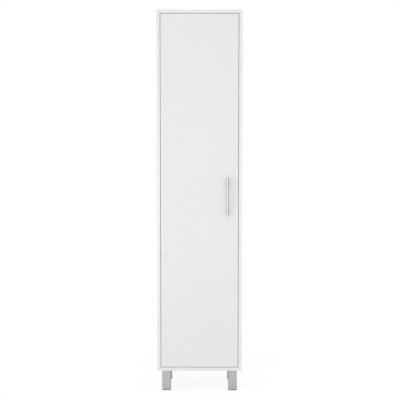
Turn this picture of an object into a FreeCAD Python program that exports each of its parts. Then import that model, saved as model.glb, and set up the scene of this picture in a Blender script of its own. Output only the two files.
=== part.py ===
import FreeCAD, Part
import math
import os

# Broom cupboard: a tall white board carcass on four square metal legs, with one inset door on
# concealed cup hinges, a bar handle, a fixed shelf and a rail of hooks for brooms.
# Millimetres. X runs to the right, Y to the back and Z up. The origin is on the floor, in the
# middle of the footprint, handle included.

# Overall
cupboard_width = 400.0
cupboard_depth = 310.0
cupboard_height = 1800.0
floor_clearance = 100.0
board = 16.0
edge_radius = 0.8
fit = 0.05
seat_gap = 0.3
same_place = 1e-6

# Back: two thin boards joined by a strip of H section, nailed to the rear edges
back_board = 3.0
back_margin = 1.0
back_joint_height = 850.0
strip_flange = 1.0
strip_web = 1.0
strip_height = 16.0
strip_end_gap = 1.0
nail_radius = 0.7
nail_length = 16.0
nail_head_radius = 1.8
nail_head = 0.5
side_nails = 12
side_nail_margin = 30.0
cross_nail_spacing = 120.0

# Shelf and hook rail
shelf_height = 1320.0
rail_height = 80.0
shelf_swing_clearance = 1.5

# Cams, their bolts and dowels at the ends of each cross board
cam_radius = 7.5
cam_depth = 12.5
cam_inset = 34.0
cam_front_distance = 88.0
cam_rear_distance = 216.0
bolt_radius = 3.5
bolt_thread_radius = 2.5
bolt_thread = 11.0
dowel_radius = 4.0
dowel_length = 30.0
dowel_in_side = 11.0
dowel_from_cam = 32.0
dowel_hole_spare = 1.0
rail_cam_drop = 56.0

# Door
door_gap = 2.0
door_board = 16.0
door_edge_radius = 1.0

# Bar handle
handle_reach = 35.0
handle_from_edge = 51.0
handle_centre_height = 931.0
handle_hole_spacing = 128.0
bar_radius = 6.0
bar_length = 180.0
bar_chamfer = 0.8
post_radius = 5.0
collar_radius = 8.0
collar_height = 3.0
collar_round = 1.0
stud_radius = 2.0
stud_length = 6.0
handle_screw_grip = 12.0

# Cup hinges
hinge_count = 4
hinge_end_distance = 100.0
cup_radius = 17.5
cup_edge_distance = 5.0
cup_depth = 12.5
cup_wall = 0.8
flange_thickness = 1.2
flange_margin = 1.5
flange_wing = 30.0
flange_wing_width = 13.0
flange_wing_corner = 5.0
cup_screw_offset = 6.0
cup_screw_spacing = 48.0
pivot_depth = 7.4
pivot_from_cup_centre = 3.0
knuckle_radius = 2.6
hinge_pin_radius = 1.5
running_clearance = 0.05
pin_seat_clearance = 0.01
lug_thickness = 2.0
arm_width = 12.0
arm_thickness = 2.5
arm_bend = 4.0
arm_neck_reach = 15.5
arm_swing_clearance = 1.5
web_thickness = 1.5
cheek_thickness = 1.5
plate_body_height = 6.5
plate_body_width = 10.0
plate_body_front = 43.0
plate_body_length = 48.0
plate_wing_centre = 53.0
plate_wing_width = 13.0
plate_wing_span = 46.0
plate_wing_height = 2.5
plate_wing_corner = 3.0
plate_hole_spacing = 32.0
arm_adjuster_place = 54.0
arm_screw_place = 78.0

# Magnetic catch beside the handle: the door's steel strike plate rests against it
strike_length = 48.0
strike_width = 12.0
strike_thickness = 1.2
strike_edge_distance = 2.0
strike_corner = 2.0
strike_screw_spacing = 38.0
magnet_length = 24.0
magnet_width = 4.0
magnet_depth = 9.0
pole_thickness = 1.2
pole_lead = 1.5
pole_proud = 1.0
housing_length = 30.0
housing_width = 10.0
housing_depth = 16.0
housing_corner = 1.5
ear_length = 10.0
ear_thickness = 2.5
ear_slot = 3.0
ear_corner = 3.0

# Legs
leg_size = 41.0
leg_corner_radius = 2.0
leg_wall = 1.5
leg_side_inset = 22.0
leg_front_inset = 22.0
leg_rear_inset = 22.0
pad_height = 6.0
plug_height = 12.0
plug_wall = 2.0
socket_height = 16.0
socket_wall = 3.0
socket_screw_spacing = 22.0
grub_radius = 2.0
grub_drop = 9.0

# Hooks and wall bracket
hook_names = ("left", "middle", "right")
hook_spacing = 100.0
hook_width = 16.0
hook_strip = 2.5
hook_bend = 11.0
hook_plate = 52.0
hook_tip = 14.0
hook_corner = 4.0
hook_below_shelf = 14.0
hook_screw_margin = 9.0
hook_screw_spacing = 24.0
bracket_leg = 30.0
bracket_width = 20.0
bracket_thickness = 2.0
bracket_bend = 2.5
bracket_corner = 4.0
wall_hole_radius = 2.75
wall_hole_drop = 18.0
bracket_screw_reach = 18.0

# Screws: shank radius, shank length, head radius, head height
wood_screw = (1.75, 12.0, 3.4, 1.8)
cup_screw = (1.75, 11.0, 3.2, 1.6)
plate_screw = (2.5, 12.0, 4.2, 2.2)
arm_screw = (2.5, 5.0, 4.0, 1.8)
handle_screw = (2.0, door_board + handle_screw_grip, 4.3, 2.4)
recess_share = 0.62
recess_width = 1.0
recess_depth = 0.9
cam_recess_reach = 4.5
screw_hole_spare = 0.5

# Places worked out from the sizes
total_depth = cupboard_depth + handle_reach
front = handle_reach - total_depth / 2
back = front + cupboard_depth
carcass_back = back - strip_flange - back_board
left = -cupboard_width / 2
right = cupboard_width / 2
inner_left = left + board
inner_right = right - board
inner_bottom = floor_clearance + board
inner_top = cupboard_height - board
shelf_bottom = floor_clearance + shelf_height
shelf_top = shelf_bottom + board
door_left = inner_left + door_gap
door_right = inner_right - door_gap
door_bottom = inner_bottom + door_gap
door_top = inner_top - door_gap
door_back = front + door_board
rail_front = carcass_back - board
handle_x = door_right - handle_from_edge
bar_y = front - handle_reach + bar_radius
cup_x = door_left + cup_edge_distance + cup_radius
pivot_x = cup_x - pivot_from_cup_centre
pivot_y = front + pivot_depth
door_swing = math.hypot(pivot_x - door_left, max(pivot_depth, door_board - pivot_depth))
shelf_front = pivot_y + door_swing + shelf_swing_clearance
arm_web_x = inner_left + plate_body_height + fit
plate_front = front + plate_body_front
plate_end = plate_front + plate_body_length
magnet_x = door_right - strike_edge_distance - strike_width / 2
strike_back = door_back + strike_thickness
back_joint = floor_clearance + back_joint_height

right_way = FreeCAD.Vector(1, 0, 0)
left_way = FreeCAD.Vector(-1, 0, 0)
back_way = FreeCAD.Vector(0, 1, 0)
front_way = FreeCAD.Vector(0, -1, 0)
up = FreeCAD.Vector(0, 0, 1)

nodes = {}
carcass_holes = []
door_holes = []


def at(x, y, z):
    return FreeCAD.Vector(x, y, z)


def block(x0, x1, y0, y1, z0, z1):
    return Part.makeBox(x1 - x0, y1 - y0, z1 - z0, at(x0, y0, z0))


def rod(radius, start, way, length):
    return Part.makeCylinder(radius, length, start, way)


def joined(first, *others):
    return first.fuse(list(others)).removeSplitter()


def without(solid, tools):
    """The solid less those tools that reach it."""
    near = [tool for tool in tools if tool.BoundBox.intersect(solid.BoundBox)]
    return solid.cut(near) if near else solid


def rounded_front(solid, radius):
    """Rounds the edges that lie in the front plane."""
    chosen = [edge for edge in solid.Edges
              if all(abs(v.Y - front) < same_place for v in edge.Vertexes)]
    return solid.makeFillet(radius, chosen)


def rounded_along(solid, corner, way):
    """Rounds a block's four edges that run along way."""
    chosen = [edge for edge in solid.Edges
              if (edge.Vertexes[1].Point - edge.Vertexes[0].Point).cross(way).Length < same_place]
    return solid.makeFillet(corner, chosen)


def rounded_ends(strip, thickness, corner):
    """Rounds the corners at both ends of a bent strip."""
    chosen = [edge for edge in strip.Edges if abs(edge.Length - thickness) < same_place]
    return strip.makeFillet(corner, chosen)


def rounded_post(size, corner, x, y, z0, z1):
    """A square bar standing on end, with round corners."""
    half = size / 2
    return rounded_along(block(x - half, x + half, y - half, y + half, z0, z1), corner, up)


def cross_recess(centre, way, reach):
    """Two crossed slots sunk from centre along way, for a screwdriver."""
    cross = [Part.makeBox(2 * reach, recess_width, recess_depth,
                          at(-reach, -recess_width / 2, -recess_depth)),
             Part.makeBox(recess_width, 2 * reach, recess_depth,
                          at(-recess_width / 2, -reach, -recess_depth))]
    turn = FreeCAD.Rotation(up, way.negative())
    for slot in cross:
        slot.Placement = FreeCAD.Placement(centre, turn).multiply(slot.Placement)
    return cross


def screw(sizes, seat, way):
    """A round-head screw whose head sits on seat, driven along way."""
    radius, length, head_radius, head = sizes
    crown = rod(head_radius, seat, way.negative(), head)
    rim = [edge for edge in crown.Edges
           if edge.Closed and (edge.CenterOfMass - seat).Length > head / 2]
    crown = crown.makeFillet(head / 2, rim)
    cross = cross_recess(seat - way * head, way, head_radius * recess_share)
    return joined(crown, rod(radius, seat, way, length)).cut(cross)


def bore(sizes, seat, way, thickness):
    """The clearance hole for a screw's shank through a piece of that thickness."""
    return rod(sizes[0] + fit, seat, way, thickness)


def screw_hole(sizes, seat, way, spare=screw_hole_spare):
    """The hole for a screw's shank, a little deeper than the shank."""
    return rod(sizes[0] + fit, seat, way, sizes[1] + spare)


def heading(here, there):
    """The unit vector from one point to another in a plane."""
    length = math.dist(here, there)
    return ((there[0] - here[0]) / length, (there[1] - here[1]) / length)


def beside(point, way, offset):
    """The place at an offset to the left of a point, as seen along way."""
    return (point[0] - way[1] * offset, point[1] + way[0] * offset)


def side_of_strip(points, offset, bend):
    """One long side of a bent strip in its own plane: lines and arcs at an offset from points."""
    pieces = []
    last = beside(points[0], heading(points[0], points[1]), offset)
    for here, there, beyond in zip(points, points[1:], points[2:]):
        way = heading(here, there)
        after = heading(there, beyond)
        turn = math.atan2(way[0] * after[1] - way[1] * after[0],
                          way[0] * after[0] + way[1] * after[1])
        hand = math.copysign(1.0, turn)
        tangent = bend * math.tan(abs(turn) / 2)
        entry = (there[0] - way[0] * tangent, there[1] - way[1] * tangent)
        leave = (there[0] + after[0] * tangent, there[1] + after[1] * tangent)
        centre = beside(entry, way, hand * bend)
        share = (bend - hand * offset) / math.dist(centre, there)
        middle = (centre[0] + (there[0] - centre[0]) * share,
                  centre[1] + (there[1] - centre[1]) * share)
        begin = beside(entry, way, offset)
        pieces.append((last, begin))
        last = beside(leave, after, offset)
        pieces.append((begin, middle, last))
    pieces.append((last, beside(points[-1], heading(points[-2], points[-1]), offset)))
    return pieces


def bent_strip(points, thickness, bend, to_space, width):
    """A strip of even thickness bent along points, then made as wide as the vector width."""
    one_side = side_of_strip(points, thickness / 2, bend)
    other_side = side_of_strip(points[::-1], thickness / 2, bend)
    around = one_side + [(one_side[-1][-1], other_side[0][0])]
    around += other_side + [(other_side[-1][-1], one_side[0][0])]
    edges = []
    for piece in around:
        placed = [to_space(*point) for point in piece]
        if len(placed) == 3:
            edges.append(Part.Arc(*placed).toShape())
        elif (placed[1] - placed[0]).Length > same_place:
            edges.append(Part.LineSegment(*placed).toShape())
    return Part.Face(Part.Wire(edges)).extrude(width)


def cross_board_fittings(z, spots, place, cam_way, dowel_way=1.0):
    """Cams, bolts and dowels at both ends of a cross board; place gives the point of a spot."""
    made = {"cam": [], "bolt": [], "dowel": []}
    for side in (-1.0, 1.0):
        face = side * (cupboard_width / 2 - board)
        outward = right_way * side
        for step, spot in enumerate(spots):
            seat = place(face - side * cam_inset, spot, z)
            start = seat - cam_way * (board / 2)
            cam = rod(cam_radius, start, cam_way, cam_depth)
            carcass_holes.append(rod(cam_radius + fit, start, cam_way, cam_depth + fit))
            mouth = place(face, spot, z)
            shank = rod(bolt_radius, seat, outward, cam_inset)
            thread = rod(bolt_thread_radius, mouth, outward, bolt_thread)
            made["bolt"].append(joined(shank, thread))
            carcass_holes.append(rod(bolt_radius + fit, seat, outward, cam_inset))
            carcass_holes.append(rod(bolt_thread_radius + fit, mouth, outward,
                                     bolt_thread + dowel_hole_spare))
            cam = cam.cut(cross_recess(start, cam_way, cam_recess_reach))
            made["cam"].append(cam.cut(rod(bolt_radius + fit, seat, outward, cam_inset)))
            towards_next = dowel_way if step == 0 else -dowel_way
            base = place(face, spot + towards_next * dowel_from_cam, z)
            start = base + outward * (dowel_in_side - dowel_length)
            made["dowel"].append(rod(dowel_radius, start, outward, dowel_length))
            start = start - outward * dowel_hole_spare
            carcass_holes.append(rod(dowel_radius + fit, start, outward,
                                     dowel_length + 2 * dowel_hole_spare))
    return made


def build_fittings():
    """The cams, bolts and dowels of the four cross boards."""
    kinds = {"cam": [], "bolt": [], "dowel": []}

    def in_level_board(x, spot, z):
        return at(x, front + spot, z)

    def in_rail(x, spot, z):
        return at(x, carcass_back - board / 2, z - spot)

    level = (cam_front_distance, cam_rear_distance)
    for z in (floor_clearance + board / 2, shelf_bottom + board / 2, inner_top + board / 2):
        for kind, solids in cross_board_fittings(z, level, in_level_board, up).items():
            kinds[kind] += solids
    rail = cross_board_fittings(shelf_bottom, (rail_cam_drop,), in_rail, front_way, -1.0)
    for kind, solids in rail.items():
        kinds[kind] += solids
    nodes["cam_locks"] = kinds["cam"]
    nodes["cam_bolts"] = kinds["bolt"]
    nodes["wood_dowels"] = kinds["dowel"]


def build_back():
    """Two back boards, the strip between them and the nails."""
    flat = (left + back_margin, right - back_margin, carcass_back, carcass_back + back_board)
    low = block(*flat, floor_clearance + back_margin, back_joint - strip_web / 2 - fit)
    high = block(*flat, back_joint + strip_web / 2 + fit, cupboard_height - back_margin)
    x0, x1 = inner_left + strip_end_gap, inner_right - strip_end_gap
    z0, z1 = back_joint - strip_height / 2, back_joint + strip_height / 2
    inner = block(x0, x1, carcass_back - strip_flange, carcass_back - fit, z0, z1)
    outer = block(x0, x1, carcass_back + back_board + fit, back, z0, z1)
    web = block(x0, x1, carcass_back - strip_flange, back,
                back_joint - strip_web / 2, back_joint + strip_web / 2)
    nodes["back_joining_strip"] = [joined(inner, outer, web)]

    spots = []
    run = cupboard_height - floor_clearance - 2 * side_nail_margin
    for index in range(side_nails):
        z = floor_clearance + side_nail_margin + run * index / (side_nails - 1)
        spots += [(side * (cupboard_width - board) / 2, z) for side in (-1, 1)]
    for z in (floor_clearance + board / 2, shelf_bottom + board / 2, inner_top + board / 2):
        spots += [(step * cross_nail_spacing, z) for step in (-1, 0, 1)]
    nails = []
    for x, z in spots:
        face = at(x, carcass_back + back_board, z)
        head = rod(nail_head_radius, face, back_way, nail_head)
        nails.append(joined(head, rod(nail_radius, face, front_way, nail_length)))
        carcass_holes.append(rod(nail_radius + fit, face, front_way, nail_length + fit))
    nodes["back_panel_nails"] = nails
    nodes["lower_back_panel"] = [low]
    nodes["upper_back_panel"] = [high]


def build_hooks():
    """Bent strip hooks on the rail, each held by two screws."""
    nodes["hook_screws"] = []
    z_top = shelf_bottom - hook_below_shelf
    z_low = z_top - hook_plate - hook_bend
    y_plate = rail_front - hook_strip / 2
    y_tip = y_plate - 2 * hook_bend
    points = [(y_plate, z_top), (y_plate, z_low), (y_tip, z_low),
              (y_tip, z_low + hook_bend + hook_tip)]

    def upright(y, z):
        return at(hook_x - hook_width / 2, y, z)

    for index, name in enumerate(hook_names):
        hook_x = (index - (len(hook_names) - 1) / 2) * hook_spacing
        hook = bent_strip(points, hook_strip, hook_bend, upright, right_way * hook_width)
        hook = rounded_ends(hook, hook_strip, hook_corner)
        for drop in (hook_screw_margin, hook_screw_margin + hook_screw_spacing):
            seat = at(hook_x, rail_front - hook_strip, z_top - drop)
            nodes["hook_screws"].append(screw(wood_screw, seat, back_way))
            hook = hook.cut(bore(wood_screw, seat, back_way, hook_strip))
            carcass_holes.append(screw_hole(wood_screw, seat, back_way))
        nodes["broom_hook_" + name] = [hook]


def build_wall_bracket():
    """An angle under the top board, with the hole for a wall screw through the back."""
    def upright(y, z):
        return at(-bracket_width / 2, y, z)

    half = bracket_thickness / 2
    points = [(carcass_back - half, inner_top - bracket_leg),
              (carcass_back - half, inner_top - half),
              (carcass_back - bracket_leg, inner_top - half)]
    angle = bent_strip(points, bracket_thickness, bracket_bend, upright,
                       right_way * bracket_width)
    angle = rounded_ends(angle, bracket_thickness, bracket_corner)
    seat = at(0, carcass_back - bracket_screw_reach, inner_top - bracket_thickness)
    carcass_holes.append(screw_hole(wood_screw, seat, up))
    wall_hole = rod(wall_hole_radius, at(0, carcass_back - bracket_thickness,
                                         inner_top - wall_hole_drop),
                    back_way, bracket_thickness + back_board)
    carcass_holes.append(wall_hole)
    angle = angle.cut([bore(wood_screw, seat, up, bracket_thickness), wall_hole])
    nodes["wall_bracket"] = [angle]
    nodes["wall_bracket_screw"] = [screw(wood_screw, seat, up)]


def build_leg(name, x, y):
    """A square tube pushed over a socket under the bottom board, with a pad in its lower end."""
    inside = leg_size - 2 * leg_wall
    slack = 2 * fit
    corner = max(leg_corner_radius - leg_wall, fit)
    tube = rounded_post(leg_size, leg_corner_radius, x, y, pad_height, floor_clearance)
    tube = tube.cut(rounded_post(inside, corner, x, y, pad_height, floor_clearance))

    foot = rounded_post(leg_size, leg_corner_radius, x, y, 0, pad_height)
    plug_top = pad_height + plug_height
    plug = rounded_post(inside - slack, corner, x, y, pad_height, plug_top)
    hollow = rounded_post(inside - slack - 2 * plug_wall, corner, x, y, pad_height, plug_top)
    nodes[name + "_leg_pad"] = [joined(foot, plug.cut(hollow))]

    base = floor_clearance - socket_height
    socket = rounded_post(inside - slack, corner, x, y, base, floor_clearance)
    cavity = rounded_post(inside - slack - 2 * socket_wall, corner, x, y, base,
                          floor_clearance - socket_wall)
    socket = socket.cut(cavity)
    for across in (-1, 1):
        for along in (-1, 1):
            seat = at(x + across * socket_screw_spacing / 2,
                      y + along * socket_screw_spacing / 2, floor_clearance - socket_wall)
            nodes["leg_socket_screws"].append(screw(wood_screw, seat, up))
            socket = socket.cut(bore(wood_screw, seat, up, socket_wall))
            carcass_holes.append(screw_hole(wood_screw, seat, up))

    # The grub screw faces the middle of the cupboard, where it is out of sight.
    inward = 1.0 if y < (front + back) / 2 else -1.0
    start = at(x, y + inward * leg_size / 2, floor_clearance - grub_drop)
    way = front_way * inward
    grip = leg_wall + slack / 2 + socket_wall
    nodes["leg_grub_screws"].append(rod(grub_radius, start, way, grip))
    hole = rod(grub_radius + fit, start, way, grip)
    nodes[name + "_leg"] = [tube.cut(hole)]
    nodes[name + "_leg_socket"] = [socket.cut(hole)]


def build_legs():
    """The four legs, set in from the carcass's edges."""
    nodes["leg_socket_screws"] = []
    nodes["leg_grub_screws"] = []
    half = leg_size / 2
    from_middle = cupboard_width / 2 - leg_side_inset - half
    rows = {"front": front + leg_front_inset + half, "rear": back - leg_rear_inset - half}
    for row, y in rows.items():
        build_leg(row + "_left", -from_middle, y)
        build_leg(row + "_right", from_middle, y)


def hinge_plate(z):
    """The plate on the side panel, screwed on through its two wings."""
    wing_y = front + plate_wing_centre
    wings = block(inner_left, inner_left + plate_wing_height,
                  wing_y - plate_wing_width / 2, wing_y + plate_wing_width / 2,
                  z - plate_wing_span / 2, z + plate_wing_span / 2)
    wings = rounded_along(wings, plate_wing_corner, right_way)
    body = block(inner_left, inner_left + plate_body_height, plate_front, plate_end,
                 z - plate_body_width / 2, z + plate_body_width / 2)
    plate = joined(body, wings)
    for hand in (-1, 1):
        seat = at(inner_left + plate_wing_height, wing_y, z + hand * plate_hole_spacing / 2)
        nodes["hinge_plate_screws"].append(screw(plate_screw, seat, left_way))
        plate = plate.cut(bore(plate_screw, seat, left_way, plate_wing_height))
        carcass_holes.append(screw_hole(plate_screw, seat, left_way))
    return plate


def hinge_arm(z):
    """A channel over the plate, a neck behind the door's edge and a knuckle in the cup."""
    z_low = z - arm_width / 2

    def plan(x, y):
        return at(x, y, z_low)

    cross_y = pivot_y + door_swing + arm_swing_clearance + arm_thickness / 2
    neck_x = pivot_x + arm_neck_reach
    neck_start = arm_web_x + arm_thickness / 2
    neck = bent_strip([(pivot_x, pivot_y), (neck_x, pivot_y), (neck_x, cross_y),
                       (neck_start, cross_y), (neck_start, plate_front)],
                      arm_thickness, arm_bend, plan, up * arm_width)
    knuckle = rod(knuckle_radius, plan(pivot_x, pivot_y), up, arm_width)
    inner = plate_body_width / 2 + fit
    outer = inner + cheek_thickness
    web = block(arm_web_x, arm_web_x + web_thickness, plate_front, plate_end,
                z - outer, z + outer)
    cheeks = [block(inner_left + plate_wing_height + fit, arm_web_x + web_thickness,
                    plate_front, plate_end, z + low, z + high)
              for low, high in ((-outer, -inner), (inner, outer))]
    arm = joined(neck, knuckle, web, *cheeks)
    eye = rod(hinge_pin_radius + running_clearance, plan(pivot_x, pivot_y), up, arm_width)
    return arm.cut(eye)


def hinge_cup(z):
    """The cup let into the door's back, with the lugs that carry the pin."""
    floor_y = door_back - cup_depth
    shell = rod(cup_radius - fit, at(cup_x, floor_y + fit, z), back_way, cup_depth - fit)
    rim = rod(cup_radius + flange_margin, at(cup_x, door_back, z), back_way, flange_thickness)
    wing_x = cup_x + cup_screw_offset
    wing = block(wing_x - flange_wing_width / 2, wing_x + flange_wing_width / 2,
                 door_back, door_back + flange_thickness, z - flange_wing, z + flange_wing)
    wing = rounded_along(wing, flange_wing_corner, back_way)
    inside = rod(cup_radius - cup_wall, at(cup_x, floor_y + cup_wall, z), back_way,
                 cup_depth + flange_thickness)
    cup = joined(shell, rim, wing).cut(inside)
    inner = arm_width / 2 + seat_gap
    outer = inner + lug_thickness
    for z0 in (z - outer, z + inner):
        lug = block(pivot_x - knuckle_radius, pivot_x + knuckle_radius,
                    floor_y + cup_wall / 2, pivot_y, z0, z0 + lug_thickness)
        eye = rod(knuckle_radius, at(pivot_x, pivot_y, z0), up, lug_thickness)
        cup = joined(cup, lug, eye)
    pin_start = at(pivot_x, pivot_y, z - outer)
    nodes["hinge_pins"].append(rod(hinge_pin_radius, pin_start, up, 2 * outer))
    cup = cup.cut(rod(hinge_pin_radius + pin_seat_clearance, pin_start, up, 2 * outer))
    for hand in (-1, 1):
        seat = at(wing_x, door_back + flange_thickness, z + hand * cup_screw_spacing / 2)
        nodes["hinge_cup_screws"].append(screw(cup_screw, seat, front_way))
        cup = cup.cut(bore(cup_screw, seat, front_way, flange_thickness))
        door_holes.append(screw_hole(cup_screw, seat, front_way))
    door_holes.append(rod(cup_radius, at(cup_x, floor_y, z), back_way, cup_depth))
    return cup


def build_hinge(number, z):
    """One hinge: plate and arm on the side panel, cup on the door, and the pin between them."""
    bores = []
    for place in (arm_adjuster_place, arm_screw_place):
        seat = at(arm_web_x + web_thickness, front + place, z)
        nodes["hinge_arm_screws"].append(screw(arm_screw, seat, left_way))
        bores.append(screw_hole(arm_screw, seat, left_way, fit))
    nodes["hinge_%d_plate" % number] = [hinge_plate(z).cut(bores)]
    nodes["hinge_%d_arm" % number] = [hinge_arm(z).cut(bores)]
    nodes["hinge_%d_cup" % number] = [hinge_cup(z)]


def build_hinges():
    """The hinges, spread evenly up the door."""
    for group in ("hinge_plate_screws", "hinge_arm_screws", "hinge_pins", "hinge_cup_screws"):
        nodes[group] = []
    first = door_bottom + hinge_end_distance
    last = door_top - hinge_end_distance
    for index in range(hinge_count):
        build_hinge(index + 1, first + (last - first) * index / (hinge_count - 1))


def build_handle():
    """A round bar on two turned posts, screwed on from inside the door."""
    low = handle_centre_height - bar_length / 2
    bar = rod(bar_radius, at(handle_x, bar_y, low), up, bar_length)
    rims = [edge for edge in bar.Edges if edge.Closed]
    bar = bar.makeChamfer(bar_chamfer, rims)
    bar_hollow = rod(bar_radius, at(handle_x, bar_y, low), up, bar_length)
    nodes["handle_screws"] = []
    for name, hand in (("lower", -1), ("upper", 1)):
        z = handle_centre_height + hand * handle_hole_spacing / 2
        base = at(handle_x, front, z)
        reach = front - bar_y
        collar = rod(collar_radius, base, front_way, collar_height)
        outer_rim = [edge for edge in collar.Edges
                     if edge.Closed and abs(edge.CenterOfMass.y - front) > collar_height / 2]
        collar = collar.makeFillet(collar_round, outer_rim)
        stem = rod(post_radius, base, front_way, reach).cut(bar_hollow)
        saddle = at(handle_x, bar_y + bar_radius - stud_length, z)
        stud = rod(stud_radius, saddle, back_way, stud_length + post_radius)
        post = joined(collar, stem, stud)
        bar = bar.cut(rod(stud_radius + fit, at(handle_x, saddle.y - fit, z), back_way,
                          bar_radius + stud_length))
        seat = at(handle_x, door_back, z)
        nodes["handle_screws"].append(screw(handle_screw, seat, front_way))
        post = post.cut(screw_hole(handle_screw, seat, front_way, fit))
        door_holes.append(screw_hole(handle_screw, seat, front_way, 0.0))
        nodes["handle_%s_post" % name] = [post]
    nodes["handle_bar"] = [bar]


def build_boards():
    """The boards of the carcass and the door, drilled for all that is let into them."""
    whole = {
        "left_side_panel": (left, inner_left, floor_clearance, cupboard_height),
        "right_side_panel": (inner_right, right, floor_clearance, cupboard_height),
        "top_panel": (inner_left, inner_right, inner_top, cupboard_height),
        "bottom_panel": (inner_left, inner_right, floor_clearance, inner_bottom),
    }
    for name, (x0, x1, z0, z1) in whole.items():
        panel = rounded_front(block(x0, x1, front, carcass_back, z0, z1), edge_radius)
        nodes[name] = [without(panel, carcass_holes)]
    shelf = block(inner_left, inner_right, shelf_front, carcass_back, shelf_bottom, shelf_top)
    nodes["fixed_shelf"] = [without(shelf, carcass_holes)]
    rail = block(inner_left, inner_right, rail_front, carcass_back,
                 shelf_bottom - rail_height, shelf_bottom)
    nodes["hook_rail"] = [without(rail, carcass_holes)]
    for name in ("lower_back_panel", "upper_back_panel"):
        nodes[name] = [without(nodes[name][0], carcass_holes)]
    door = block(door_left, door_right, front, door_back, door_bottom, door_top)
    nodes["door_panel"] = [without(rounded_front(door, door_edge_radius), door_holes)]


def build_strike_plate():
    """The steel plate on the door that the magnet holds."""
    strike = block(magnet_x - strike_width / 2, magnet_x + strike_width / 2,
                   door_back, strike_back, handle_centre_height - strike_length / 2,
                   handle_centre_height + strike_length / 2)
    strike = rounded_along(strike, strike_corner, back_way)
    nodes["strike_plate_screws"] = []
    for hand in (-1, 1):
        seat = at(magnet_x, strike_back, handle_centre_height + hand * strike_screw_spacing / 2)
        nodes["strike_plate_screws"].append(screw(wood_screw, seat, front_way))
        strike = strike.cut(bore(wood_screw, seat, front_way, strike_thickness))
        door_holes.append(screw_hole(wood_screw, seat, front_way, 0.0))
    nodes["catch_strike_plate"] = [strike]


def build_catch():
    """A magnet between two steel pole plates, in a plastic housing on the right side panel."""
    z = handle_centre_height
    pole_y = strike_back + seat_gap
    deep = pole_y + pole_lead + magnet_depth
    low, high = z - magnet_length / 2, z + magnet_length / 2
    nodes["catch_magnet"] = [block(magnet_x - magnet_width / 2, magnet_x + magnet_width / 2,
                                   pole_y + pole_lead, deep, low, high)]
    inner = magnet_width / 2 + fit
    outer = inner + pole_thickness
    nodes["catch_pole_plates"] = [block(magnet_x + x0, magnet_x + x1, pole_y, deep, low, high)
                                  for x0, x1 in ((-outer, -inner), (inner, outer))]

    y0 = pole_y + pole_proud
    pocket = outer + fit
    housing = block(magnet_x - housing_width / 2, inner_right, y0, y0 + housing_depth,
                    z - housing_length / 2, z + housing_length / 2)
    inner_edges = [edge for edge in housing.Edges
                   if all(v.X < magnet_x for v in edge.Vertexes)]
    housing = housing.makeFillet(housing_corner, inner_edges)
    reach = housing_length / 2 + ear_length
    ears = block(inner_right - ear_thickness, inner_right, y0, y0 + housing_depth,
                 z - reach, z + reach)
    ears = rounded_along(ears, ear_corner, right_way)
    housing = joined(housing, ears).cut(block(magnet_x - pocket, magnet_x + pocket, y0, deep + fit,
                                              low - fit, high + fit))

    # The screws' holes are slots, so that the catch can be set in and out.
    nodes["catch_screws"] = []
    for hand in (-1, 1):
        seat = at(inner_right - ear_thickness, y0 + housing_depth / 2,
                  z + hand * (reach - ear_length / 2))
        nodes["catch_screws"].append(screw(wood_screw, seat, right_way))
        carcass_holes.append(screw_hole(wood_screw, seat, right_way))
        ends = [bore(wood_screw, seat + back_way * (way * ear_slot / 2), right_way, ear_thickness)
                for way in (-1, 1)]
        radius = wood_screw[0] + fit
        between = block(seat.x, inner_right, seat.y - ear_slot / 2, seat.y + ear_slot / 2,
                        seat.z - radius, seat.z + radius)
        housing = housing.cut(joined(between, *ends))
    nodes["catch_housing"] = [housing]


def export():
    os.makedirs("parts", exist_ok=True)
    for name, solids in nodes.items():
        shape = solids[0] if len(solids) == 1 else Part.makeCompound(solids)
        shape.exportStep("parts/%s.step" % name)


build_fittings()
build_back()
build_hooks()
build_wall_bracket()
build_legs()
build_hinges()
build_handle()
build_strike_plate()
build_catch()
build_boards()
export()
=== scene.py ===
import math

import bpy
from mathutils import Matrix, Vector


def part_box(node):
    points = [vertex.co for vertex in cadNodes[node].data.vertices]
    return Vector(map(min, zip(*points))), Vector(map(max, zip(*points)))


# Broom cupboard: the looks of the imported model. Metres, X right, Y back, Z up, origin on the floor.

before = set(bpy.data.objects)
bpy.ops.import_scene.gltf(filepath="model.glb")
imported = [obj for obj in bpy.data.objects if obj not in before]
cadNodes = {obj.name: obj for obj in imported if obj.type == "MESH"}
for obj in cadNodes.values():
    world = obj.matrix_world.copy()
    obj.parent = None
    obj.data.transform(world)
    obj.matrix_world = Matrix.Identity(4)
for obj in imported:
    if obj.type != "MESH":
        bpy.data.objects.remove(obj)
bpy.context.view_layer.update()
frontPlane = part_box("door_panel")[0].y
millimetre = 0.001
print("frame loaded with", len(cadNodes), "pieces")


# Camera

cameraSetup = {
    "distance": 5.57,        # from the carcass front to the lens
    "sideways": 0.015,
    "height": 1.424,
    "pitchDown": 5.22,       # degrees
    "yawLeft": 0.13,         # degrees
    "focalPixels": 1192.0,
    "imagePixels": 400.0,
    "sensorWidth": 36.0,     # millimetres, as Blender counts a sensor
    "farClip": 100.0,
}


def makeCamera(setup):
    data = bpy.data.cameras.new("cupboardCamera")
    data.sensor_width = setup["sensorWidth"]
    data.lens = setup["sensorWidth"] * setup["focalPixels"] / setup["imagePixels"]
    data.clip_end = setup["farClip"]
    camera = bpy.data.objects.new("cupboardCamera", data)
    bpy.context.scene.collection.objects.link(camera)
    camera.location = (setup["sideways"], frontPlane - setup["distance"], setup["height"])
    tilt = math.radians(90.0 - setup["pitchDown"])
    camera.rotation_euler = (tilt, 0.0, math.radians(setup["yawLeft"]))
    bpy.context.scene.camera = camera


makeCamera(cameraSetup)
print("camera placed")


# Helpers for node trees

noiseLow, noiseHigh = 0.3, 0.7    # nearly all values of a noise texture lie between these


def feed(tree, socket, value):
    if isinstance(value, bpy.types.NodeSocket):
        tree.links.new(value, socket)
    else:
        socket.default_value = value


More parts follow.
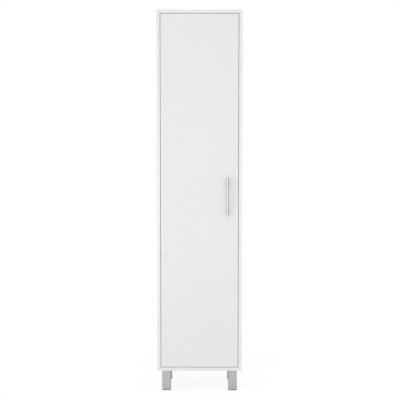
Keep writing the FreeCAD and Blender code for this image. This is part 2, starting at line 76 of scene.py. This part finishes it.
def addNode(tree, kind, inputs=None, **settings):
    node = tree.nodes.new(kind)
    for key, value in settings.items():
        setattr(node, key, value)
    for key, value in (inputs or {}).items():
        feed(tree, node.inputs[key], value)
    return node


def useGroup(tree, group, inputs):
    return addNode(tree, "ShaderNodeGroup", inputs, node_tree=group).outputs


def calc(tree, operation, first, second=0.0):
    return addNode(tree, "ShaderNodeMath", {0: first, 1: second}, operation=operation).outputs[0]


def remap(tree, value, low, high, newLow=0.0, newHigh=1.0):
    return addNode(tree, "ShaderNodeMapRange", {
        "Value": value, "From Min": low, "From Max": high,
        "To Min": newLow, "To Max": newHigh}).outputs["Result"]


def spreadNoise(tree, noise, newLow=-1.0, newHigh=1.0):
    return remap(tree, noise, noiseLow, noiseHigh, newLow, newHigh)


def addNoise(tree, vector, size, detail, roughness=0.5, twist=0.0):
    return addNode(tree, "ShaderNodeTexNoise", {
        "Vector": vector, "Scale": size, "Detail": detail, "Roughness": roughness,
        "Distortion": twist}).outputs["Fac"]


def stretchPlace(tree, place, factors):
    return addNode(tree, "ShaderNodeVectorMath", {0: place, 1: factors},
                   operation="MULTIPLY").outputs["Vector"]


def scaleTone(tree, tone, factor):
    return addNode(tree, "ShaderNodeVectorMath", {0: tone, "Scale": factor},
                   operation="SCALE").outputs["Vector"]


def mixColour(tree, factor, first, second):
    return addNode(tree, "ShaderNodeMix", {0: factor, 6: first, 7: second},
                   data_type="RGBA", blend_type="MIX").outputs[2]


def bumpFrom(tree, height, distance, normal=None):
    bump = addNode(tree, "ShaderNodeBump", {"Height": height, "Distance": distance, "Strength": 1.0})
    if normal is not None:
        feed(tree, bump.inputs["Normal"], normal)
    return bump.outputs["Normal"]


def splitAxes(tree, vector):
    return addNode(tree, "ShaderNodeSeparateXYZ", {"Vector": vector}).outputs


def colour(red, green, blue):
    return (red, green, blue, 1.0)


vectorSocket = "NodeSocketVector"
colourSocket = "NodeSocketColor"
floatSocket = "NodeSocketFloat"


def newGroup(name, inputs, outputs):
    group = bpy.data.node_groups.new(name, "ShaderNodeTree")
    for label, kind, value in inputs:
        socket = group.interface.new_socket(name=label, in_out="INPUT", socket_type=kind)
        if value is not None:
            socket.default_value = value
    for label, kind in outputs:
        group.interface.new_socket(name=label, in_out="OUTPUT", socket_type=kind)
    given = group.nodes.new("NodeGroupInput")
    result = group.nodes.new("NodeGroupOutput")
    return group, given.outputs, result.inputs


# Effects that several finishes share

cloudLook = {"detail": 4.0, "roughness": 0.55}


def makeCloudyTone(look):
    # a slow change of tone over a surface, and the same clouds as a value
    group, given, result = newGroup("cloudyTone", [
        ("Vector", vectorSocket, None), ("Colour", colourSocket, colour(1, 1, 1)),
        ("Size", floatSocket, 10.0), ("Change", floatSocket, 0.05)],
        [("Colour", colourSocket), ("Value", floatSocket)])
    clouds = addNoise(group, given["Vector"], given["Size"], look["detail"], look["roughness"])
    swing = calc(group, "MULTIPLY", spreadNoise(group, clouds), given["Change"])
    feed(group, result["Colour"], scaleTone(group, given["Colour"], calc(group, "ADD", swing, 1.0)))
    feed(group, result["Value"], clouds)
    return group


brushLook = {
    "fineDetail": 5.0,
    "fineRoughness": 0.7,
    "broadSize": 0.13,       # the broad lines' noise scale beside the fine ones'
    "broadDetail": 2.0,
    "fineShare": 0.6,
    "broadShare": 0.4,
}


def makeBrushedLines(look):
    # long fine scratches; Stretch is small along the brushing and large across it
    group, given, result = newGroup("brushedLines", [
        ("Vector", vectorSocket, None), ("Stretch", vectorSocket, (1000.0, 1000.0, 20.0)),
        ("Depth", floatSocket, 0.1)],
        [("Tone", floatSocket), ("Height", floatSocket)])
    place = stretchPlace(group, given["Vector"], given["Stretch"])
    fine = addNoise(group, place, 1.0, look["fineDetail"], look["fineRoughness"])
    broad = addNoise(group, place, look["broadSize"], look["broadDetail"])
    lines = calc(group, "ADD", calc(group, "MULTIPLY", fine, look["fineShare"]),
                 calc(group, "MULTIPLY", broad, look["broadShare"]))
    swing = calc(group, "MULTIPLY", spreadNoise(group, lines), given["Depth"])
    feed(group, result["Tone"], calc(group, "ADD", swing, 1.0))
    feed(group, result["Height"], lines)
    return group


edgeLook = {
    "bevelSamples": 6,
    "flat": 0.995,           # cosine between the rounded and the true normal off the edges
    "sharp": 0.85,           # and on them
    "patchSize": 180.0,
    "patchDetail": 3.0,
    "patchLow": 0.35,
    "patchHigh": 0.65,
}


def makeEdgeMask(look):
    # 1 along outer edges and corners, broken up by a little noise
    group, given, result = newGroup("edgeMask", [
        ("Vector", vectorSocket, None), ("Radius", floatSocket, 0.001),
        ("Break", floatSocket, 0.4)],
        [("Mask", floatSocket), ("Normal", vectorSocket)])
    rounded = addNode(group, "ShaderNodeBevel", {"Radius": given["Radius"]},
                      samples=look["bevelSamples"]).outputs["Normal"]
    plain = addNode(group, "ShaderNodeNewGeometry").outputs["Normal"]
    facing = addNode(group, "ShaderNodeVectorMath", {0: rounded, 1: plain},
                     operation="DOT_PRODUCT").outputs["Value"]
    edge = remap(group, facing, look["flat"], look["sharp"])
    patches = addNoise(group, given["Vector"], look["patchSize"], look["patchDetail"])
    loss = calc(group, "MULTIPLY", remap(group, patches, look["patchLow"], look["patchHigh"]),
                given["Break"])
    kept = calc(group, "SUBTRACT", 1.0, loss)
    feed(group, result["Mask"], calc(group, "MULTIPLY", edge, kept))
    feed(group, result["Normal"], rounded)
    return group


skinLook = {
    "grainDetail": 2.0,
    "grainRoughness": 0.6,
    "glossSize": 0.02,       # the gloss patches' noise scale beside the grain's
    "glossDetail": 3.0,
}


def makePressedSkin(look):
    # the fine uneven skin of pressed melamine, moulded plastic and plating
    group, given, result = newGroup("pressedSkin", [
        ("Vector", vectorSocket, None), ("Size", floatSocket, 1200.0)],
        [("Height", floatSocket), ("Gloss", floatSocket)])
    grain = addNoise(group, given["Vector"], given["Size"], look["grainDetail"], look["grainRoughness"])
    broadSize = calc(group, "MULTIPLY", given["Size"], look["glossSize"])
    broad = addNoise(group, given["Vector"], broadSize, look["glossDetail"])
    feed(group, result["Height"], grain)
    feed(group, result["Gloss"], spreadNoise(group, broad))
    return group


cloudyTone = makeCloudyTone(cloudLook)
brushedLines = makeBrushedLines(brushLook)
edgeMask = makeEdgeMask(edgeLook)
pressedSkin = makePressedSkin(skinLook)
print("shared effects built")


# Finishes

def startMaterial(name):
    material = bpy.data.materials.new(name)
    material.use_nodes = True
    tree = material.node_tree
    tree.nodes.clear()
    shader = tree.nodes.new("ShaderNodeBsdfPrincipled")
    output = tree.nodes.new("ShaderNodeOutputMaterial")
    tree.links.new(shader.outputs["BSDF"], output.inputs["Surface"])
    place = tree.nodes.new("ShaderNodeTexCoord").outputs["Object"]
    return material, tree, shader.inputs, place


def addClouds(tree, place, tone, size, change):
    return useGroup(tree, cloudyTone, {"Vector": place, "Colour": tone, "Size": size, "Change": change})


def addEdges(tree, place, values):
    return useGroup(tree, edgeMask, {"Vector": place, "Radius": values["edgeRound"]})


def wearEdges(tree, tone, edges, values):
    # clean metal or rubbed plastic along the edges
    worn = calc(tree, "MULTIPLY", edges["Mask"], values["edgeWear"])
    return mixColour(tree, worn, tone, values["edgeColour"])


def changedRoughness(tree, noise, values):
    return spreadNoise(tree, noise, values["roughness"] - values["roughChange"],
                       values["roughness"] + values["roughChange"])


laminate = {
    "face": colour(0.825, 0.825, 0.843),
    "edging": colour(0.842, 0.842, 0.858),
    "cloudSize": 3.0,
    "cloudChange": 0.006,
    "roughness": 0.42,
    "edgingRoughness": 0.34,
    "glossChange": 0.04,
    "edgingThickness": 1.0 * millimetre,
    "jointWidth": 0.12 * millimetre,
    "jointColour": colour(0.42, 0.41, 0.40),
    "jointStrength": 0.6,
    "grainSize": 1400.0,
    "grainDepth": 0.012 * millimetre,
    "edgeRound": 0.5 * millimetre,
    "specular": 0.4,
}

# the edges of each board that a glued strip closes, by axis and end
boardEdges = {
    "door_panel": (("X", -1), ("X", 1), ("Z", -1), ("Z", 1)),
    "left_side_panel": (("Y", -1), ("Z", 1), ("Z", -1)),
    "right_side_panel": (("Y", -1), ("Z", 1), ("Z", -1)),
    "top_panel": (("Y", -1),),
    "bottom_panel": (("Y", -1),),
    "fixed_shelf": (("Y", -1),),
    "hook_rail": (("Z", -1),),
}


def nearPlane(tree, along, plane, width):
    # 1 within width of the plane, measured along one axis
    distance = calc(tree, "ABSOLUTE", calc(tree, "SUBTRACT", along, plane))
    return calc(tree, "LESS_THAN", distance, width)


def findEdging(tree, place, node, values):
    # masks of the strips on a board's edges, and of the hair line beside each strip
    low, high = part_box(node)
    axes = splitAxes(tree, place)
    joint = None
    strip = None
    for axis, end in boardEdges[node]:
        edge = (low if end < 0 else high)["XYZ".index(axis)]
        seam = edge - end * values["edgingThickness"]
        line = nearPlane(tree, axes[axis], seam, values["jointWidth"] / 2)
        band = nearPlane(tree, axes[axis], edge, values["edgingThickness"])
        joint = line if joint is None else calc(tree, "MAXIMUM", joint, line)
        strip = band if strip is None else calc(tree, "MAXIMUM", strip, band)
    return joint, strip


def makeBoard(node, values):
    first, *others = node.split("_")
    name = first + "".join(word.capitalize() for word in others) + "Laminate"
    material, tree, shader, place = startMaterial(name)
    joint, strip = findEdging(tree, place, node, values)
    clouds = addClouds(tree, place, values["face"], values["cloudSize"], values["cloudChange"])
    skin = useGroup(tree, pressedSkin, {"Vector": place, "Size": values["grainSize"]})
    edges = addEdges(tree, place, values)
    surface = mixColour(tree, strip, clouds["Colour"], values["edging"])
    surface = mixColour(tree, calc(tree, "MULTIPLY", joint, values["jointStrength"]),
                        surface, values["jointColour"])
    feed(tree, shader["Base Color"], surface)
    base = remap(tree, strip, 0.0, 1.0, values["roughness"], values["edgingRoughness"])
    change = calc(tree, "MULTIPLY", skin["Gloss"], values["glossChange"])
    feed(tree, shader["Roughness"], calc(tree, "ADD", base, change))
    feed(tree, shader["Normal"], bumpFrom(tree, skin["Height"], values["grainDepth"], edges["Normal"]))
    shader["Specular IOR Level"].default_value = values["specular"]
    return material


hardboard = {
    "inside": colour(0.80, 0.80, 0.80),
    "insideCloudSize": 5.0,
    "insideCloudChange": 0.012,
    "insideRoughness": 0.5,
    "insideFacing": -0.5,    # a face whose normal has a lower Y looks forward and is white
    "outside": colour(0.36, 0.245, 0.15),
    "outsideCloudSize": 9.0,
    "outsideCloudChange": 0.10,
    "outsideRoughness": 0.82,
    "fibre": colour(0.20, 0.125, 0.07),
    "fibreStretch": (700.0, 700.0, 160.0),
    "fibreDetail": 6.0,
    "fibreRoughness": 0.7,
    "fibreTwist": 1.4,
    "fleckLow": 0.42,
    "fleckHigh": 0.66,
    "fleckStrength": 0.7,
    "meshPitch": 1.6 * millimetre,
    "meshShare": 0.6,        # of the relief
    "fibreShare": 0.8,
    "reliefDepth": 0.10 * millimetre,
    "specular": 0.3,
}


def makeHardboard(values):
    # smooth and white inside, raw pressed fibre with the print of its wire mesh outside
    material, tree, shader, place = startMaterial("backHardboard")
    facing = addNode(tree, "ShaderNodeTexCoord").outputs["Normal"]
    raw = calc(tree, "GREATER_THAN", splitAxes(tree, facing)["Y"], values["insideFacing"])
    axes = splitAxes(tree, place)
    wires = []
    for axis in "XZ":
        phase = calc(tree, "MULTIPLY", axes[axis], 2 * math.pi / values["meshPitch"])
        wires.append(calc(tree, "ABSOLUTE", calc(tree, "SINE", phase)))
    mesh = calc(tree, "MULTIPLY", *wires)
    fibres = addNoise(tree, stretchPlace(tree, place, values["fibreStretch"]), 1.0,
                      values["fibreDetail"], values["fibreRoughness"], values["fibreTwist"])
    fleck = remap(tree, fibres, values["fleckLow"], values["fleckHigh"])
    brown = addClouds(tree, place, values["outside"], values["outsideCloudSize"],
                      values["outsideCloudChange"])["Colour"]
    brown = mixColour(tree, calc(tree, "MULTIPLY", fleck, values["fleckStrength"]),
                      brown, values["fibre"])
    white = addClouds(tree, place, values["inside"], values["insideCloudSize"],
                      values["insideCloudChange"])["Colour"]
    feed(tree, shader["Base Color"], mixColour(tree, raw, white, brown))
    feed(tree, shader["Roughness"], remap(tree, raw, 0.0, 1.0, values["insideRoughness"],
                                          values["outsideRoughness"]))
    relief = calc(tree, "ADD", calc(tree, "MULTIPLY", mesh, values["meshShare"]),
                  calc(tree, "MULTIPLY", fibres, values["fibreShare"]))
    height = calc(tree, "MULTIPLY", relief, raw)
    feed(tree, shader["Normal"], bumpFrom(tree, height, values["reliefDepth"]))
    shader["Specular IOR Level"].default_value = values["specular"]
    return material


legMetal = {
    "colour": colour(0.445, 0.44, 0.463),
    "edgeColour": colour(0.62, 0.62, 0.64),
    "edgeWear": 0.5,
    "edgeRound": 0.6 * millimetre,
    "metallic": 0.75,
    "cloudSize": 30.0,
    "cloudChange": 0.03,
    "stretch": (2600.0, 2600.0, 60.0),
    "lineTone": 0.05,
    "lineDepth": 0.010 * millimetre,
    "roughness": 0.38,
    "roughChange": 0.05,
}

handleMetal = {
    "colour": colour(0.53, 0.53, 0.54),
    "edgeColour": colour(0.62, 0.62, 0.63),
    "edgeWear": 0.5,
    "edgeRound": 0.3 * millimetre,
    "metallic": 1.0,
    "cloudSize": 40.0,
    "cloudChange": 0.02,
    "stretch": (3200.0, 3200.0, 50.0),
    "lineTone": 0.04,
    "lineDepth": 0.006 * millimetre,
    "roughness": 0.38,
    "roughChange": 0.04,
}


def makeBrushedMetal(name, values):
    material, tree, shader, place = startMaterial(name)
    clouds = addClouds(tree, place, values["colour"], values["cloudSize"], values["cloudChange"])
    lines = useGroup(tree, brushedLines, {"Vector": place, "Stretch": values["stretch"],
                                          "Depth": values["lineTone"]})
    edges = addEdges(tree, place, values)
    tone = scaleTone(tree, clouds["Colour"], lines["Tone"])
    feed(tree, shader["Base Color"], wearEdges(tree, tone, edges, values))
    feed(tree, shader["Roughness"], changedRoughness(tree, lines["Height"], values))
    feed(tree, shader["Normal"], bumpFrom(tree, lines["Height"], values["lineDepth"], edges["Normal"]))
    shader["Metallic"].default_value = values["metallic"]
    return material


nickelPlate = {
    "colour": colour(0.62, 0.605, 0.58),
    "edgeColour": colour(0.78, 0.765, 0.74),
    "edgeWear": 0.6,
    "edgeRound": 0.35 * millimetre,
    "cloudSize": 90.0,
    "cloudChange": 0.05,
    "grainSize": 2500.0,
    "grainDepth": 0.004 * millimetre,
    "roughness": 0.24,
    "roughChange": 0.07,
}

zincPlate = {
    "colour": colour(0.56, 0.575, 0.59),
    "edgeColour": colour(0.70, 0.71, 0.72),
    "edgeWear": 0.6,
    "edgeRound": 0.3 * millimetre,
    "cloudSize": 160.0,
    "cloudChange": 0.09,
    "grainSize": 1800.0,
    "grainDepth": 0.008 * millimetre,
    "roughness": 0.34,
    "roughChange": 0.09,
}

castZinc = {
    "colour": colour(0.40, 0.405, 0.41),
    "edgeColour": colour(0.52, 0.52, 0.53),
    "edgeWear": 0.6,
    "edgeRound": 0.4 * millimetre,
    "cloudSize": 300.0,
    "cloudChange": 0.12,
    "grainSize": 900.0,
    "grainDepth": 0.03 * millimetre,
    "roughness": 0.5,
    "roughChange": 0.08,
}


def makePlatedMetal(name, values):
    # slight clouds, tiny pits, and clean metal along the edges
    material, tree, shader, place = startMaterial(name)
    clouds = addClouds(tree, place, values["colour"], values["cloudSize"], values["cloudChange"])
    skin = useGroup(tree, pressedSkin, {"Vector": place, "Size": values["grainSize"]})
    edges = addEdges(tree, place, values)
    feed(tree, shader["Base Color"], wearEdges(tree, clouds["Colour"], edges, values))
    feed(tree, shader["Roughness"], changedRoughness(tree, clouds["Value"], values))
    feed(tree, shader["Normal"], bumpFrom(tree, skin["Height"], values["grainDepth"], edges["Normal"]))
    shader["Metallic"].default_value = 1.0
    return material


padPlastic = {
    "colour": colour(0.27, 0.27, 0.275),
    "edgeColour": colour(0.38, 0.38, 0.385),
    "edgeWear": 0.35,
    "edgeRound": 0.5 * millimetre,
    "cloudSize": 60.0,
    "cloudChange": 0.06,
    "grainSize": 900.0,
    "grainDepth": 0.03 * millimetre,
    "roughness": 0.55,
    "roughChange": 0.05,
}

whitePlastic = {
    "colour": colour(0.80, 0.80, 0.80),
    "edgeColour": colour(0.86, 0.86, 0.86),
    "edgeWear": 0.35,
    "edgeRound": 0.4 * millimetre,
    "cloudSize": 40.0,
    "cloudChange": 0.015,
    "grainSize": 1100.0,
    "grainDepth": 0.02 * millimetre,
    "roughness": 0.38,
    "roughChange": 0.04,
}

ferrite = {
    "colour": colour(0.05, 0.05, 0.055),
    "edgeColour": colour(0.14, 0.14, 0.14),
    "edgeWear": 0.35,
    "edgeRound": 0.3 * millimetre,
    "cloudSize": 200.0,
    "cloudChange": 0.15,
    "grainSize": 1500.0,
    "grainDepth": 0.03 * millimetre,
    "roughness": 0.6,
    "roughChange": 0.05,
}


def makeMoulded(name, values):
    # plastic or ferrite as it leaves the mould, rubbed along the edges
    material, tree, shader, place = startMaterial(name)
    clouds = addClouds(tree, place, values["colour"], values["cloudSize"], values["cloudChange"])
    skin = useGroup(tree, pressedSkin, {"Vector": place, "Size": values["grainSize"]})
    edges = addEdges(tree, place, values)
    feed(tree, shader["Base Color"], wearEdges(tree, clouds["Colour"], edges, values))
    change = calc(tree, "MULTIPLY", skin["Gloss"], values["roughChange"])
    feed(tree, shader["Roughness"], calc(tree, "ADD", change, values["roughness"]))
    feed(tree, shader["Normal"], bumpFrom(tree, skin["Height"], values["grainDepth"], edges["Normal"]))
    return material


beech = {
    "light": colour(0.62, 0.43, 0.27),
    "dark": colour(0.40, 0.25, 0.14),
    "darkLow": 0.4,
    "darkHigh": 0.65,
    "poreStretch": (60.0, 900.0, 900.0),
    "poreDetail": 5.0,
    "poreRoughness": 0.65,
    "poreDepth": 0.05 * millimetre,
    "smoothest": 0.55,
    "roughest": 0.7,
}


def makeBeech(values):
    material, tree, shader, place = startMaterial("beechWood")
    pores = addNoise(tree, stretchPlace(tree, place, values["poreStretch"]), 1.0,
                     values["poreDetail"], values["poreRoughness"])
    shade = remap(tree, pores, values["darkLow"], values["darkHigh"])
    feed(tree, shader["Base Color"], mixColour(tree, shade, values["light"], values["dark"]))
    feed(tree, shader["Roughness"], spreadNoise(tree, pores, values["smoothest"], values["roughest"]))
    feed(tree, shader["Normal"], bumpFrom(tree, pores, values["poreDepth"]))
    return material


def dress(material, *names):
    for name in names:
        slots = cadNodes[name].data.materials
        slots.clear()
        slots.append(material)


for boardNode in boardEdges:
    dress(makeBoard(boardNode, laminate), boardNode)
dress(makeHardboard(hardboard), "upper_back_panel", "lower_back_panel")
dress(makeMoulded("whiteMouldedPlastic", whitePlastic), "back_joining_strip", "catch_housing")
dress(makeMoulded("darkFerrite", ferrite), "catch_magnet")
dress(makePlatedMetal("castZincAlloy", castZinc), "cam_locks")
dress(makeBeech(beech), "wood_dowels")

legSatin = makeBrushedMetal("satinLegMetal", legMetal)
padDark = makeMoulded("darkPadPlastic", padPlastic)
for corner in ("front_left", "front_right", "rear_left", "rear_right"):
    dress(legSatin, corner + "_leg")
    dress(padDark, corner + "_leg_pad", corner + "_leg_socket")

dress(makeBrushedMetal("satinHandleMetal", handleMetal),
      "handle_bar", "handle_upper_post", "handle_lower_post")

nickel = makePlatedMetal("nickelPlate", nickelPlate)
for hingePart in cadNodes:
    if hingePart.startswith("hinge_"):
        dress(nickel, hingePart)
dress(nickel, "catch_strike_plate")
dress(makePlatedMetal("zincPlate", zincPlate), "broom_hook_left", "broom_hook_middle",
      "broom_hook_right", "hook_screws", "wall_bracket", "wall_bracket_screw", "cam_bolts",
      "back_panel_nails", "catch_pole_plates", "catch_screws", "strike_plate_screws",
      "handle_screws", "leg_socket_screws", "leg_grub_screws")
print("finishes applied")


# Floor and light

studio = {
    "floorSize": 60.0,
    "floorColour": colour(0.93, 0.93, 0.93),
    "lensFloorColour": colour(0.19, 0.19, 0.19),  # as the lens sees it, with a soft shadow
    "whiteToLens": 0.865,      # plain white added to that
    "whiteToGloss": 0.04,      # and to the reflections in metal
    "worldFill": 0.72,
    "worldToLens": 1.0,
}


def makeFloor(setup):
    half = setup["floorSize"] / 2
    mesh = bpy.data.meshes.new("studioFloor")
    corners = [(-half, -half, 0.0), (half, -half, 0.0), (half, half, 0.0), (-half, half, 0.0)]
    mesh.from_pydata(corners, [], [(0, 1, 2, 3)])
    floor = bpy.data.objects.new("studioFloor", mesh)
    bpy.context.scene.collection.objects.link(floor)
    material = bpy.data.materials.new("paleFloor")
    material.use_nodes = True
    tree = material.node_tree
    tree.nodes.clear()
    rays = addNode(tree, "ShaderNodeLightPath").outputs
    mirrored = calc(tree, "MAXIMUM", rays["Is Glossy Ray"], rays["Is Transmission Ray"])
    seen = mixColour(tree, rays["Is Camera Ray"], setup["floorColour"], setup["lensFloorColour"])
    matt = addNode(tree, "ShaderNodeBsdfDiffuse", {"Color": seen})
    glow = calc(tree, "MAXIMUM", calc(tree, "MULTIPLY", rays["Is Camera Ray"], setup["whiteToLens"]),
                calc(tree, "MULTIPLY", mirrored, setup["whiteToGloss"]))
    white = addNode(tree, "ShaderNodeEmission", {"Color": colour(1, 1, 1), "Strength": glow})
    both = addNode(tree, "ShaderNodeAddShader", {0: matt.outputs["BSDF"], 1: white.outputs["Emission"]})
    output = tree.nodes.new("ShaderNodeOutputMaterial")
    tree.links.new(both.outputs["Shader"], output.inputs["Surface"])
    mesh.materials.append(material)


def makeWorld(setup):
    world = bpy.data.worlds.new("studioWorld")
    bpy.context.scene.world = world
    world.use_nodes = True
    tree = world.node_tree
    tree.nodes.clear()
    rays = addNode(tree, "ShaderNodeLightPath").outputs
    seen = calc(tree, "MAXIMUM", rays["Is Camera Ray"],
                calc(tree, "MAXIMUM", rays["Is Glossy Ray"], rays["Is Transmission Ray"]))
    strength = remap(tree, seen, 0.0, 1.0, setup["worldFill"], setup["worldToLens"])
    light = addNode(tree, "ShaderNodeBackground", {"Color": colour(1, 1, 1), "Strength": strength})
    output = tree.nodes.new("ShaderNodeOutputWorld")
    tree.links.new(light.outputs["Background"], output.inputs["Surface"])


lamps = {
    "keyLamp": {"place": (-3.2, -4.2, 0.65), "aim": (0.0, 0.0, 0.8), "width": 3.0, "height": 1.4,
                "power": 27.0},
    "frontLamp": {"place": (-0.4, -5.8, 0.5), "aim": (0.0, 0.0, 0.6), "width": 2.8, "height": 1.0,
                  "power": 55.0},
}


def makeLamp(name, setup):
    data = bpy.data.lights.new(name, "AREA")
    data.shape = "RECTANGLE"
    data.size = setup["width"]
    data.size_y = setup["height"]
    data.energy = setup["power"]
    lamp = bpy.data.objects.new(name, data)
    bpy.context.scene.collection.objects.link(lamp)
    lamp.location = setup["place"]
    towards = Vector(setup["aim"]) - Vector(setup["place"])
    lamp.rotation_euler = towards.to_track_quat("-Z", "Y").to_euler()


makeFloor(studio)
makeWorld(studio)
for lampName, lampSetup in lamps.items():
    makeLamp(lampName, lampSetup)
bpy.context.scene.view_settings.view_transform = "Standard"
print("floor and light ready")
